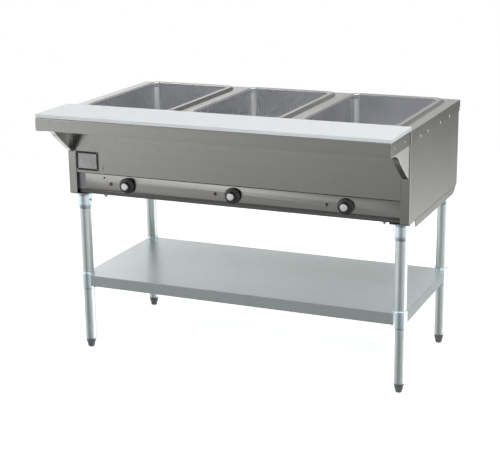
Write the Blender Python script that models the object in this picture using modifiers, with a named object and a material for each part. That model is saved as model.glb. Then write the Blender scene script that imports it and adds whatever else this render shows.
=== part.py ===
"""Three-well electric steam table on an open stand with an adjustable undershelf.

Metres, +Z up. The origin is on the floor under the middle of the whole unit, the cook stands at -Y
and +X is to the cook's right.
"""

import math

import bmesh
import bpy
from mathutils import Vector

# Overall size
LENGTH = 1.219
DEPTH = 0.790
DECK_Z = 0.871
BODY_Z = 0.574
HALF = LENGTH / 2

# Sheet metal
SHEET = 0.0012
DECK_SHEET = 0.0015
GAP = 0.0004

# Plan of the body
SHELF_REACH = 0.195
FRONT_Y = -DEPTH / 2 + SHELF_REACH
BACK_Y = DEPTH / 2
REAR_LIP = 0.009
REAR_Y = BACK_Y - REAR_LIP
SKIRT = 0.038
LIP_DROP = 0.025
COLUMN_Y = FRONT_Y + DECK_SHEET + GAP
COLUMN_W = 0.030
SIDE_X = HALF - DECK_SHEET - GAP
INNER_X = SIDE_X - COLUMN_W - GAP
PANEL_Y = COLUMN_Y + 0.0015
SEAM_Z = BODY_Z + 0.075
STRIP_Z = BODY_Z + 0.013
STRIP_LEFT_X = -0.543
PANEL_FOLD = 0.010

# Wells
WELL_PITCH = 0.394
WELL_XS = (-WELL_PITCH, 0.0, WELL_PITCH)
WELL_W = 0.302
WELL_D = 0.505
WELL_CORNER = 0.020
RIM = 0.026
RIM_SLOPE = 0.009
RIM_ROUND = 0.003
RIM_H = 0.008
WELL_Y = FRONT_Y + 0.016 + RIM + WELL_D / 2
WELL_FLOOR_Z = DECK_Z - 0.200
LINER_W = WELL_W + 0.006
LINER_D = WELL_D + 0.006
LINER_MOUTH_Z = DECK_Z + 0.0025
LINER_SHEET = 0.0010
INSULATION = 0.018

# Heating elements: four runs front to back, joined by round turns
ELEMENT_R = 0.0043
ELEMENT_Z = WELL_FLOOR_Z + 0.028
ELEMENT_RUNS = (-0.105, -0.035, 0.035, 0.105)
ELEMENT_FRONT_Y = WELL_Y - WELL_D / 2 + 0.045
ELEMENT_BACK_Y = WELL_Y + WELL_D / 2 - 0.075
ELEMENT_END_Z = WELL_FLOOR_Z - 0.032
ELEMENT_BEND = 0.014
SUPPORT_W = 0.240
SUPPORT_D = 0.020

# Controls
KNOB_PITCH = 0.390
KNOB_OFFSET = 0.010
KNOB_XS = (KNOB_OFFSET - KNOB_PITCH, KNOB_OFFSET, KNOB_OFFSET + KNOB_PITCH)
PILOT_OFFSET = -0.065
CONTROL_Z = BODY_Z + 0.0435
KNOB_R = 0.027
KNOB_FACE = 0.025
KNOB_BORE_END = 0.0165
SHAFT_R = 0.003
SHAFT_HOLE_R = 0.0060
PILOT_HOLE_R = 0.0056
SWITCH_HALF_W = 0.023
SWITCH_HALF_H = 0.021
SWITCH_DEEP = 0.036
FACING_COOK = (math.radians(90), 0, 0)
FACING_WALL = (math.radians(-90), 0, 0)

# Supply
GLAND_R = 0.011
GLAND_PLACE = (0.500, REAR_Y, BODY_Z + 0.050)
HARNESS_R = 0.006
BLOCK_LOW = (0.440, 0.180, BODY_Z + SHEET + GAP)
BLOCK_SIZE = (0.090, 0.035, 0.034)

# Shelf and cutting board
SHELF_HALF = HALF - 0.0035
SHELF_DROP = 0.041
BOARD_T = 0.0127
BOARD_D = 0.207
BOARD_SET_BACK = 0.002
BRACKET_X = SHELF_HALF - DECK_SHEET - GAP
BRACKET_W = 0.020
BRACKET_TIP_Z = DECK_Z - 0.046
BRACKET_CURVE = 0.090

# Stand
LEG_X = 0.573
LEG_YS = (FRONT_Y + 0.040, FRONT_Y + 0.530)
LEG_R = 0.02065
LEG_WALL = 0.0015
LEG_FOOT_Z = 0.031
RAIL_T = 0.0025
RAIL_DROP = 0.025
RAIL_INNER_X = 0.540
SOCKET_R = 0.0245
SOCKET_TOP_Z = BODY_Z - RAIL_T - 2 * GAP
UNDERSHELF_Z = 0.272
UNDERSHELF_EDGE = 0.040
COLLAR_R = 0.0236

# Rating plate
PLATE_LOW = (-0.575, BODY_Z + 0.084)
PLATE_HIGH = (-0.490, BODY_Z + 0.150)
PLATE_T = 0.0012

ROUND = 20

# colour, roughness, metallic
FINISHES = {
    "stainless": ((0.50, 0.49, 0.47), 0.32, 1.0),
    "galvanised": ((0.55, 0.60, 0.60), 0.45, 1.0),
    "aluminised": ((0.42, 0.44, 0.48), 0.40, 1.0),
    "zinc": ((0.62, 0.70, 0.75), 0.30, 1.0),
    "polyethylene": ((0.88, 0.89, 0.88), 0.45, 0.0),
    "black_plastic": ((0.03, 0.03, 0.03), 0.35, 0.0),
    "red_lens": ((0.35, 0.06, 0.05), 0.20, 0.0),
    "fibreglass": ((0.75, 0.62, 0.25), 0.95, 0.0),
    "heater_alloy": ((0.16, 0.14, 0.13), 0.55, 1.0),
    "steel": ((0.45, 0.45, 0.46), 0.35, 1.0),
    "cream_plastic": ((0.70, 0.66, 0.55), 0.50, 0.0),
    "foot_plastic": ((0.12, 0.12, 0.13), 0.50, 0.0),
    "label_foil": ((0.30, 0.30, 0.30), 0.40, 0.0),
}


def clear_scene():
    for obj in list(bpy.data.objects):
        bpy.data.objects.remove(obj, do_unlink=True)


def make_collection(name, hidden=False):
    collection = bpy.data.collections.new(name)
    bpy.context.scene.collection.children.link(collection)
    collection.hide_render = hidden
    return collection


clear_scene()
PARTS = make_collection("steam_table")
CUTTERS = make_collection("cutters", hidden=True)


def finish(obj, kind):
    """Gives the object a Principled material of its own."""
    colour, roughness, metallic = FINISHES[kind]
    material = bpy.data.materials.new(obj.name + "_" + kind)
    material.use_nodes = True
    shader = material.node_tree.nodes["Principled BSDF"]
    shader.inputs["Base Color"].default_value = (*colour, 1.0)
    shader.inputs["Roughness"].default_value = roughness
    shader.inputs["Metallic"].default_value = metallic
    material.diffuse_color = (*colour, 1.0)
    obj.data.materials.append(material)


def add_object(name, bm, kind=None, location=(0, 0, 0), rotation=(0, 0, 0)):
    """Turns the bmesh into a part, or into a cutter if it has no finish."""
    mesh = bpy.data.meshes.new(name)
    bm.to_mesh(mesh)
    bm.free()
    obj = bpy.data.objects.new(name, mesh)
    obj.location = location
    obj.rotation_euler = rotation
    if kind:
        PARTS.objects.link(obj)
        finish(obj, kind)
    else:
        CUTTERS.objects.link(obj)
        obj.hide_render = True
        obj.display_type = "WIRE"
    return obj


def smooth(obj, degrees=35):
    obj.data.shade_smooth()
    obj.data.set_sharp_from_angle(angle=math.radians(degrees))


def box(name, low, high, kind=None, bevel=0.0):
    """An axis-aligned box between two corners."""
    bm = bmesh.new()
    bmesh.ops.create_cube(bm, size=1.0)
    size = Vector(high) - Vector(low)
    bmesh.ops.scale(bm, vec=size, verts=bm.verts)
    obj = add_object(name, bm, kind, (Vector(low) + Vector(high)) / 2)
    if bevel:
        add_bevel(obj, bevel)
    return obj


def round_cutter(name, radius, depth, location, rotation=(0, 0, 0), segments=ROUND):
    bm = bmesh.new()
    bmesh.ops.create_cone(
        bm, cap_ends=True, segments=segments, radius1=radius, radius2=radius, depth=depth
    )
    return add_object(name, bm, None, location, rotation)


def add_bevel(obj, width, segments=1):
    bevel = obj.modifiers.new("bevel", "BEVEL")
    bevel.width = width
    bevel.segments = segments
    bevel.limit_method = "ANGLE"


def add_thickness(obj, thickness):
    """Thickens a surface away from the side that its faces look at."""
    solidify = obj.modifiers.new("thickness", "SOLIDIFY")
    solidify.thickness = thickness
    solidify.offset = -1.0
    solidify.use_even_offset = True
    solidify.use_quality_normals = True


def combine(obj, other, operation):
    boolean = obj.modifiers.new(operation.lower(), "BOOLEAN")
    boolean.operation = operation
    boolean.solver = "EXACT"
    boolean.object = other


def cut(obj, cutter):
    combine(obj, cutter, "DIFFERENCE")


def loop(bm, points):
    """Adds a closed ring of edges through the points."""
    verts = [bm.verts.new(point) for point in points]
    return [bm.edges.new((a, b)) for a, b in zip(verts, verts[1:] + verts[:1])]


def join_loops(bm, below, above):
    """Faces between two rings that have the same number of edges in the same order."""
    for low, high in zip(below, above):
        bm.faces.new((low.verts[0], low.verts[1], high.verts[1], high.verts[0]))


def rounded_rectangle(centre, width, depth, radius, z, steps=5):
    """Points of a rectangle with round corners, at height z."""
    points = []
    for quarter, (side_x, side_y) in enumerate(((1, 1), (-1, 1), (-1, -1), (1, -1))):
        corner_x = centre[0] + side_x * (width / 2 - radius)
        corner_y = centre[1] + side_y * (depth / 2 - radius)
        for step in range(steps + 1):
            angle = math.radians(90 * (quarter + step / steps))
            points.append(
                (corner_x + radius * math.cos(angle), corner_y + radius * math.sin(angle), z)
            )
    return points


def orient(bm, reference, direction):
    """Makes the faces agree, with the reference face looking along direction."""
    bmesh.ops.recalc_face_normals(bm, faces=bm.faces)
    reference.normal_update()
    if reference.normal.dot(Vector(direction)) < 0:
        bmesh.ops.reverse_faces(bm, faces=bm.faces)


def pan(name, outline, sweep, kind, thickness=SHEET, skip=()):
    """A folded sheet: the outline's face, with a flange along each edge that skip doesn't name."""
    bm = bmesh.new()
    edges = loop(bm, outline)
    face = bmesh.ops.contextual_create(bm, geom=edges)["faces"][0]
    folded = [edge for index, edge in enumerate(edges) if index not in skip]
    made = bmesh.ops.extrude_edge_only(bm, edges=folded)["geom"]
    flange_verts = [item for item in made if isinstance(item, bmesh.types.BMVert)]
    bmesh.ops.translate(bm, vec=sweep, verts=flange_verts)
    orient(bm, face, -Vector(sweep))
    obj = add_object(name, bm, kind)
    add_thickness(obj, thickness)
    return obj


def front_outline(left, right, bottom, top, y):
    """Corners of an upright rectangle that faces the cook."""
    return [(left, y, bottom), (right, y, bottom), (right, y, top), (left, y, top)]


def turned(name, profile, kind, location, rotation=(0, 0, 0), steps=ROUND, ring=False):
    """A turned piece from (radius, height) points down its outer side; a ring goes back up its bore."""
    bm = bmesh.new()
    verts = [bm.verts.new((radius, 0.0, height)) for radius, height in profile]
    for a, b in zip(verts, verts[1:]):
        bm.edges.new((a, b))
    if ring:
        bm.edges.new((verts[-1], verts[0]))
    obj = add_object(name, bm, kind, location, rotation)
    screw = obj.modifiers.new("turn", "SCREW")
    screw.axis = "Z"
    screw.angle = math.tau
    screw.steps = steps
    screw.render_steps = steps
    screw.use_merge_vertices = True
    screw.merge_threshold = 0.00001
    screw.use_smooth_shade = True
    return obj


def tube(name, points, radius, kind):
    """A round tube along the points."""
    curve = bpy.data.curves.new(name, "CURVE")
    curve.dimensions = "3D"
    curve.bevel_depth = radius
    curve.bevel_resolution = 1
    curve.use_fill_caps = True
    spline = curve.splines.new("POLY")
    spline.points.add(len(points) - 1)
    for target, point in zip(spline.points, points):
        target.co = (*point, 1.0)
    obj = bpy.data.objects.new(name, curve)
    PARTS.objects.link(obj)
    finish(obj, kind)
    return obj


def arc(centre, radius, start, end, steps, point):
    """Points on an arc, where point turns in-plane coordinates into a place in space."""
    points = []
    for step in range(steps + 1):
        angle = math.radians(start + (end - start) * step / steps)
        in_plane = (centre[0] + radius * math.cos(angle), centre[1] + radius * math.sin(angle))
        points.append(point(*in_plane))
    return points


def rim_levels():
    """Width, depth, corner radius and height of each level of a rim, from its crest to its lip."""
    crest = DECK_Z + RIM_H
    levels = ((RIM - RIM_SLOPE, crest), (RIM_ROUND, crest), (0, crest - RIM_ROUND), (0, DECK_Z - 0.010))
    return [(WELL_W + 2 * out, WELL_D + 2 * out, WELL_CORNER + out, z) for out, z in levels]


def make_deck():
    """The one-piece top: skirts outside, and a raised rim with a short inner lip round each opening."""
    bm = bmesh.new()
    corners = [(-HALF, FRONT_Y, DECK_Z), (HALF, FRONT_Y, DECK_Z)]
    corners += [(HALF, BACK_Y, DECK_Z), (-HALF, BACK_Y, DECK_Z)]
    outer = loop(bm, corners)
    feet = []
    for x in WELL_XS:
        size = (WELL_W + 2 * RIM, WELL_D + 2 * RIM)
        feet.append(loop(bm, rounded_rectangle((x, WELL_Y), *size, WELL_CORNER + RIM, DECK_Z)))
    flat = outer + [edge for foot in feet for edge in foot]
    made = bmesh.ops.triangle_fill(bm, use_beauty=True, edges=flat)["geom"]
    top_face = next(item for item in made if isinstance(item, bmesh.types.BMFace))
    for x, foot in zip(WELL_XS, feet):
        below = foot
        for width, depth, radius, z in rim_levels():
            above = loop(bm, rounded_rectangle((x, WELL_Y), width, depth, radius, z))
            join_loops(bm, below, above)
            below = above
    skirt = bmesh.ops.extrude_edge_only(bm, edges=outer)["geom"]
    skirt_verts = [item for item in skirt if isinstance(item, bmesh.types.BMVert)]
    bmesh.ops.translate(bm, vec=(0, 0, -SKIRT), verts=skirt_verts)
    orient(bm, top_face, (0, 0, 1))
    deck = add_object("deck_top", bm, "stainless")
    add_thickness(deck, DECK_SHEET)
    trim = box(
        "deck_lip_trim",
        (-HALF - 0.01, REAR_Y + 0.0005, DECK_Z - SKIRT - 0.01),
        (HALF + 0.01, BACK_Y + 0.01, DECK_Z - LIP_DROP),
    )
    cut(deck, trim)
    return deck


def make_side_panels():
    for name, side in (("side_panel_left", -1), ("side_panel_right", 1)):
        x = side * SIDE_X
        top = DECK_Z - DECK_SHEET - GAP
        outline = [(x, COLUMN_Y, BODY_Z), (x, REAR_Y - GAP, BODY_Z)]
        outline += [(x, REAR_Y - GAP, top), (x, COLUMN_Y, top)]
        pan(name, outline, (-side * COLUMN_W, 0, 0), "stainless")


def make_front_panels():
    """The upper apron, the control strip under it and the recessed cap at the strip's left end."""
    top = DECK_Z - DECK_SHEET - GAP
    fold = (0, PANEL_FOLD, 0)
    apron = front_outline(-INNER_X, INNER_X, SEAM_Z + GAP, top, PANEL_Y)
    pan("front_panel", apron, fold, "stainless")
    strip = front_outline(STRIP_LEFT_X, INNER_X, STRIP_Z, SEAM_Z - GAP, PANEL_Y)
    control = pan("control_panel", strip, fold, "stainless")
    for index, x in enumerate(KNOB_XS, 1):
        holes = (("knob", x, SHAFT_HOLE_R), ("pilot", x + PILOT_OFFSET, PILOT_HOLE_R))
        for label, hole_x, radius in holes:
            place = (hole_x, PANEL_Y, CONTROL_Z)
            name = f"{label}_hole_{index}"
            cut(control, round_cutter(name, radius, 0.008, place, FACING_COOK, segments=16))
    cap_y = PANEL_Y + PANEL_FOLD
    end = front_outline(-INNER_X, STRIP_LEFT_X - GAP, STRIP_Z, SEAM_Z - GAP, cap_y)
    pan("control_end_cap", end, (0, PANEL_FOLD - 0.002, 0), "stainless")


def make_rear_and_bottom():
    top = DECK_Z - DECK_SHEET - GAP
    outline = front_outline(-INNER_X, INNER_X, BODY_Z, top, REAR_Y - GAP)
    rear = pan("rear_panel", outline, (0, -PANEL_FOLD, 0), "galvanised")
    cut(rear, round_cutter("gland_hole", GLAND_R + GAP, 0.01, GLAND_PLACE, FACING_COOK))
    front = PANEL_Y + PANEL_FOLD + 0.0015
    back = REAR_Y - PANEL_FOLD - 3 * GAP
    floor = [(-INNER_X, front, BODY_Z), (INNER_X, front, BODY_Z)]
    floor += [(INNER_X, back, BODY_Z), (-INNER_X, back, BODY_Z)]
    pan("bottom_panel", floor, (0, 0, STRIP_Z - BODY_Z - GAP), "galvanised")


def well_holes(index, x):
    """The two holes that a heating element's ends go down through."""
    holes = []
    for side, run_x in (("left", ELEMENT_RUNS[0]), ("right", ELEMENT_RUNS[-1])):
        place = (x + run_x, ELEMENT_FRONT_Y, WELL_FLOOR_Z - 0.01)
        name = f"terminal_hole_{index}_{side}"
        holes.append(round_cutter(name, ELEMENT_R + 2 * GAP, 0.04, place, segments=12))
    return holes


def make_liner(index, x, holes):
    bm = bmesh.new()
    levels = (
        (LINER_W + 0.018, LINER_D + 0.018, 0.029, LINER_MOUTH_Z),
        (LINER_W, LINER_D, 0.022, LINER_MOUTH_Z),
        (LINER_W - 0.008, LINER_D - 0.008, 0.022, WELL_FLOOR_Z + 0.014),
        (LINER_W - 0.014, LINER_D - 0.014, 0.019, WELL_FLOOR_Z + 0.004),
        (LINER_W - 0.030, LINER_D - 0.030, 0.012, WELL_FLOOR_Z),
    )
    above = None
    for width, depth, radius, z in levels:
        ring = loop(bm, rounded_rectangle((x, WELL_Y), width, depth, radius, z))
        if above:
            join_loops(bm, above, ring)
        above = ring
    floor = bmesh.ops.contextual_create(bm, geom=above)["faces"][0]
    orient(bm, floor, (0, 0, 1))
    liner = add_object(f"well_liner_{index}", bm, "aluminised")
    add_thickness(liner, LINER_SHEET)
    for hole in holes:
        cut(liner, hole)


def make_insulation(index, x, holes):
    """A fibreglass jacket, open at the top, round the liner."""
    wall = LINER_SHEET + 0.0006
    inner = (LINER_W / 2 + wall, LINER_D / 2 + wall)
    top = DECK_Z - 0.008
    bottom = WELL_FLOOR_Z - wall - INSULATION
    low = (x - inner[0] - INSULATION, WELL_Y - inner[1] - INSULATION, bottom)
    high = (x + inner[0] + INSULATION, WELL_Y + inner[1] + INSULATION, top)
    jacket = box(f"well_insulation_{index}", low, high, "fibreglass")
    hollow = box(
        f"jacket_hollow_{index}",
        (x - inner[0], WELL_Y - inner[1], bottom + INSULATION),
        (x + inner[0], WELL_Y + inner[1], top + 0.01),
    )
    cut(jacket, hollow)
    for hole in holes:
        cut(jacket, hole)


def element_path(x):
    """Up from the left terminal, back and forth in the level plane, and down to the right terminal."""
    turn = (ELEMENT_RUNS[1] - ELEMENT_RUNS[0]) / 2
    left = x + ELEMENT_RUNS[0]
    right = x + ELEMENT_RUNS[3]
    middle_y = ELEMENT_FRONT_Y + ELEMENT_BEND + turn
    left_turn_x = x + (ELEMENT_RUNS[0] + ELEMENT_RUNS[1]) / 2
    right_turn_x = x + (ELEMENT_RUNS[2] + ELEMENT_RUNS[3]) / 2

    def upright(run_x):
        return lambda y, z: (run_x, y, z)

    def level(px, py):
        return (px, py, ELEMENT_Z)

    path = [(left, ELEMENT_FRONT_Y, ELEMENT_END_Z)]
    corner = (ELEMENT_FRONT_Y + ELEMENT_BEND, ELEMENT_Z - ELEMENT_BEND)
    path += arc(corner, ELEMENT_BEND, 180, 90, 3, upright(left))
    path += arc((left_turn_x, ELEMENT_BACK_Y), turn, 180, 0, 6, level)
    path += arc((x, middle_y), turn, 180, 360, 6, level)
    path += arc((right_turn_x, ELEMENT_BACK_Y), turn, 180, 0, 6, level)
    path += arc(corner, ELEMENT_BEND, 90, 180, 3, upright(right))
    path.append((right, ELEMENT_FRONT_Y, ELEMENT_END_Z))
    return path


def make_element_support(index, x):
    """A folded bridge across the well's floor, on which the element's runs lie."""
    top = ELEMENT_Z - ELEMENT_R - GAP
    left = x - SUPPORT_W / 2
    right = x + SUPPORT_W / 2
    near = WELL_Y - SUPPORT_D / 2
    far = WELL_Y + SUPPORT_D / 2
    outline = [(left, near, top), (right, near, top), (right, far, top), (left, far, top)]
    drop = (0, 0, WELL_FLOOR_Z + GAP - top)
    pan(f"element_support_{index}", outline, drop, "aluminised", skip=(0, 2))


def make_wells():
    for index, x in enumerate(WELL_XS, 1):
        holes = well_holes(index, x)
        make_liner(index, x, holes)
        make_insulation(index, x, holes)
        make_element_support(index, x)
        tube(f"heating_element_{index}", element_path(x), ELEMENT_R, "heater_alloy")


def make_switch(index, place):
    """The switch body behind the strip, with the bushing that its shaft turns in."""
    x, _, z = place
    back = PANEL_Y + SHEET + GAP
    face = back + 0.004
    low = (x - SWITCH_HALF_W, face, z - SWITCH_HALF_H)
    high = (x + SWITCH_HALF_W, face + SWITCH_DEEP, z + SWITCH_HALF_H)
    body = box(f"heat_switch_{index}", low, high, "cream_plastic", bevel=0.002)
    bushing_r = SHAFT_HOLE_R - 0.0005
    bushing_place = (x, face - 0.002, z)
    bushing = round_cutter(
        f"switch_bushing_{index}", bushing_r, 0.012, bushing_place, FACING_COOK, segments=16
    )
    combine(body, bushing, "UNION")
    bore = round_cutter(
        f"shaft_hole_{index}", SHAFT_R + GAP, 0.024, (x, face, z), FACING_COOK, segments=16
    )
    cut(body, bore)


def make_knob(index, place):
    """The knob on its shaft: a flat skirt, a tall grip with a pointer groove, and a blind bore."""
    shaft = [(0, 0.0145), (SHAFT_R, 0.0145), (SHAFT_R, -0.010), (0, -0.010)]
    turned(f"switch_shaft_{index}", shaft, "steel", place, FACING_COOK, steps=16)
    bore = SHAFT_R + 0.0003
    knob = [
        (0, KNOB_FACE),
        (0.0125, KNOB_FACE),
        (0.0138, KNOB_FACE - 0.0012),
        (0.0150, 0.0135),
        (0.0190, 0.0125),
        (KNOB_R - 0.0015, 0.0115),
        (KNOB_R, 0.0100),
        (KNOB_R, 0.0035),
        (0.0070, 0.0035),
        (bore, 0.0040),
        (bore, KNOB_BORE_END),
        (0, KNOB_BORE_END),
    ]
    dial = turned(f"control_knob_{index}", knob, "black_plastic", place, FACING_COOK, steps=24)
    x, y, z = place
    groove_low = (x - 0.0010, y - KNOB_FACE - 0.004, z + 0.0070)
    groove_high = (x + 0.0010, y - KNOB_FACE + 0.0012, z + 0.0160)
    cut(dial, box(f"pointer_groove_{index}", groove_low, groove_high))


def make_pilot(index, place):
    pilot = [
        (0, 0.0075),
        (0.0030, 0.0068),
        (0.0048, 0.0045),
        (0.0050, 0.0028),
        (0.0072, 0.0022),
        (0.0072, GAP),
        (PILOT_HOLE_R - GAP, GAP),
        (PILOT_HOLE_R - GAP, -0.0200),
        (0, -0.0200),
    ]
    turned(f"pilot_light_{index}", pilot, "red_lens", place, FACING_COOK, steps=16)


def make_controls():
    """Each well's switch, shaft, knob and pilot light."""
    for index, x in enumerate(KNOB_XS, 1):
        place = (x, PANEL_Y, CONTROL_Z)
        make_switch(index, place)
        make_knob(index, place)
        make_pilot(index, (x + PILOT_OFFSET, PANEL_Y, CONTROL_Z))


def make_wiring():
    """Terminal block, wire bundle behind the switches and the gland for the supply."""
    block_high = Vector(BLOCK_LOW) + Vector(BLOCK_SIZE)
    box("terminal_block", BLOCK_LOW, block_high, "cream_plastic", bevel=0.003)
    run_y = PANEL_Y + 0.070
    run_z = BODY_Z + 0.022
    bend = 0.030
    end_x = BLOCK_LOW[0] + BLOCK_SIZE[0] / 2

    def level(px, py):
        return (px, py, run_z)

    path = [(KNOB_XS[0] - 0.030, run_y, run_z), (0.0, run_y, run_z)]
    path += arc((end_x - bend, run_y + bend), bend, 270, 360, 5, level)
    path.append((end_x, BLOCK_LOW[1] - GAP, run_z))
    tube("wire_harness", path, HARNESS_R, "black_plastic")
    gland = [
        (0.0145, 0.0060),
        (0.0160, 0.0045),
        (0.0160, GAP),
        (GLAND_R, GAP),
        (GLAND_R, -0.0180),
        (0.0070, -0.0180),
        (0.0070, 0.0060),
    ]
    turned("supply_gland", gland, "black_plastic", GLAND_PLACE, FACING_WALL, ring=True)


def make_brackets(near, far):
    """Two upright plates under the shelf, each with its edge folded in all round."""
    top = DECK_Z - DECK_SHEET - GAP
    tip = near + DECK_SHEET + GAP
    heel = tip + 0.028
    for name, side in (("shelf_bracket_left", -1), ("shelf_bracket_right", 1)):
        x = side * BRACKET_X

        def upright(y, z):
            return (x, y, z)

        outline = [upright(tip, top), upright(tip, BRACKET_TIP_Z + 0.003), upright(heel, BRACKET_TIP_Z)]
        outline += arc((heel, BRACKET_TIP_Z - BRACKET_CURVE), BRACKET_CURVE, 80, 38, 4, upright)
        outline += [upright(far - 0.030, DECK_Z - 0.130), upright(far, DECK_Z - 0.150), upright(far, top)]
        pan(name, outline, (-side * BRACKET_W, 0, 0), "stainless")


def make_shelf():
    """The folded shelf in front, the board that lies on it and the two brackets that carry it."""
    near = -DEPTH / 2
    far = FRONT_Y - GAP
    outline = [(-SHELF_HALF, near, DECK_Z), (SHELF_HALF, near, DECK_Z)]
    outline += [(SHELF_HALF, far, DECK_Z), (-SHELF_HALF, far, DECK_Z)]
    pan("front_shelf", outline, (0, 0, -SHELF_DROP), "stainless", DECK_SHEET, skip=(2,))
    board_near = near + BOARD_SET_BACK
    board_low = (-SHELF_HALF, board_near, DECK_Z + GAP)
    board_high = (SHELF_HALF, board_near + BOARD_D, DECK_Z + GAP + BOARD_T)
    box("cutting_board", board_low, board_high, "polyethylene", bevel=0.0015)
    make_brackets(near, far)


def make_base_rails():
    """An angle along each end of the body, with its upright leg cut back at both ends."""
    z = BODY_Z - GAP
    for name, side in (("base_rail_left", -1), ("base_rail_right", 1)):
        inner = side * RAIL_INNER_X
        outer = side * (HALF - 0.003)
        start = COLUMN_Y + 0.004
        stop = REAR_Y - 0.004
        bm = bmesh.new()
        points = [(inner, start), (inner, stop), (outer, stop), (outer, start + 0.066)]
        points.append((outer, start))
        edges = loop(bm, [(x, y, z) for x, y in points])
        top = bmesh.ops.contextual_create(bm, geom=edges)["faces"][0]
        made = bmesh.ops.extrude_edge_only(bm, edges=[edges[2]])["geom"]
        for vert in (item for item in made if isinstance(item, bmesh.types.BMVert)):
            vert.co.z -= RAIL_DROP
            vert.co.y += 0.012 if vert.co.y < WELL_Y else -0.036
        orient(bm, top, (0, 0, 1))
        rail = add_object(name, bm, "stainless")
        add_thickness(rail, RAIL_T)


def leg_places():
    for depth_name, y in zip(("front", "rear"), LEG_YS):
        for side_name, side in (("left", -1), ("right", 1)):
            yield f"{depth_name}_{side_name}", side * LEG_X, y


def make_legs():
    top = BODY_Z - 0.012
    bore = LEG_R - LEG_WALL
    plug = 0.0085
    leg = [
        (LEG_R, top),
        (LEG_R, LEG_FOOT_Z),
        (plug, LEG_FOOT_Z),
        (plug, LEG_FOOT_Z + 0.025),
        (bore, LEG_FOOT_Z + 0.025),
        (bore, top),
    ]
    clear = LEG_R + GAP
    socket = [
        (0, SOCKET_TOP_Z),
        (0.030, SOCKET_TOP_Z),
        (0.030, SOCKET_TOP_Z - 0.003),
        (SOCKET_R, SOCKET_TOP_Z - 0.005),
        (SOCKET_R, SOCKET_TOP_Z - 0.044),
        (0.0228, SOCKET_TOP_Z - 0.056),
        (clear, SOCKET_TOP_Z - 0.056),
        (clear, SOCKET_TOP_Z - 0.004),
        (0, SOCKET_TOP_Z - 0.004),
    ]
    foot = [
        (0, 0.072),
        (0.0080, 0.072),
        (0.0080, LEG_FOOT_Z - GAP),
        (0.0185, LEG_FOOT_Z - GAP),
        (0.0185, LEG_FOOT_Z - 0.003),
        (0.0145, LEG_FOOT_Z - 0.006),
        (0.0110, 0.002),
        (0.0095, 0),
        (0, 0),
    ]
    for name, x, y in leg_places():
        turned(f"leg_{name}", leg, "galvanised", (x, y, 0), ring=True)
        turned(f"leg_socket_{name}", socket, "zinc", (x, y, 0))
        turned(f"foot_{name}", foot, "foot_plastic", (x, y, 0), steps=16)


def make_undershelf():
    """The tray between the legs, with its corners cut round the collars that hold it."""
    slide = bpy.data.objects.new("undershelf_slide", None)
    slide.location = (0, sum(LEG_YS) / 2, UNDERSHELF_Z)
    PARTS.objects.link(slide)
    half_x = LEG_X + 0.017
    near = LEG_YS[0] - 0.015
    far = LEG_YS[1] + 0.015
    z = UNDERSHELF_Z
    outline = [(-half_x, near, z), (half_x, near, z)]
    outline += [(half_x, far, z), (-half_x, far, z)]
    tray = pan("undershelf", outline, (0, 0, -UNDERSHELF_EDGE), "galvanised")
    collar = [
        (COLLAR_R - 0.0006, 0.010),
        (COLLAR_R, 0.007),
        (COLLAR_R, -0.048),
        (COLLAR_R - 0.0006, -0.051),
        (LEG_R + GAP, -0.051),
        (LEG_R + GAP, 0.010),
    ]
    for name, x, y in leg_places():
        place = (x, y, z - 0.02)
        cut(tray, round_cutter(f"collar_notch_{name}", COLLAR_R + GAP, 0.1, place, segments=24))
        ring = turned(f"shelf_collar_{name}", collar, "zinc", (0, 0, 0), ring=True)
        ring.location = Vector((x, y, z)) - slide.location
        ring.parent = slide
    tray.location = -slide.location
    tray.parent = slide


def make_rating_plate():
    """A blank two-window plate on the apron, close to the left column."""
    back = PANEL_Y - GAP
    low = (PLATE_LOW[0], back - PLATE_T, PLATE_LOW[1])
    high = (PLATE_HIGH[0], back, PLATE_HIGH[1])
    box("rating_plate", low, high, "label_foil", bevel=0.0003)


def main():
    make_deck()
    make_side_panels()
    make_front_panels()
    make_rear_and_bottom()
    make_wells()
    make_controls()
    make_wiring()
    make_shelf()
    make_base_rails()
    make_legs()
    make_undershelf()
    make_rating_plate()
    bpy.context.view_layer.update()
    for obj in PARTS.objects:
        if obj.type == "MESH":
            smooth(obj)


main()
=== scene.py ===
"""The looks of the three-well electric steam table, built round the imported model.

Metres, +Z up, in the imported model's own frame: the cook stands at -Y and +X is to the cook's right.
"""

import math

import bmesh
import bpy
from mathutils import Matrix, Vector


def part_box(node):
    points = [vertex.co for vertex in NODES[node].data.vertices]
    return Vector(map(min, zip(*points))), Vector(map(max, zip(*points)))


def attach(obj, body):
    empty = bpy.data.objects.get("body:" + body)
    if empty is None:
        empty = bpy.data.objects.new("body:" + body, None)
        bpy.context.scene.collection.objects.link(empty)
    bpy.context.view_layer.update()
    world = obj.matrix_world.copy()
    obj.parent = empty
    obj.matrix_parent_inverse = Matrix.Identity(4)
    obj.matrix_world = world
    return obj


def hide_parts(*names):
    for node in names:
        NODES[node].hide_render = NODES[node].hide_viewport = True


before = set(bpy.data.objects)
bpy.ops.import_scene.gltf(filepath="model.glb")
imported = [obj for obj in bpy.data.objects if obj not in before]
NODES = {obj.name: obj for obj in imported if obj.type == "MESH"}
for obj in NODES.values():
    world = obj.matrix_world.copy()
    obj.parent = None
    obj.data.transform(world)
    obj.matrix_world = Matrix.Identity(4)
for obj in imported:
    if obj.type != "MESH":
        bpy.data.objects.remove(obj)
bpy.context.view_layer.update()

# ---- places read from the frame
DECK_LOW, DECK_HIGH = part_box("deck_top")
HALF = DECK_HIGH.x
FRONT_Y = DECK_LOW.y
BACK_Y = DECK_HIGH.y
RIM_H = 0.008
DECK_Z = DECK_HIGH.z - RIM_H
SKIRT_Z = DECK_LOW.z
LIP_Z = DECK_Z - 0.025

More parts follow.
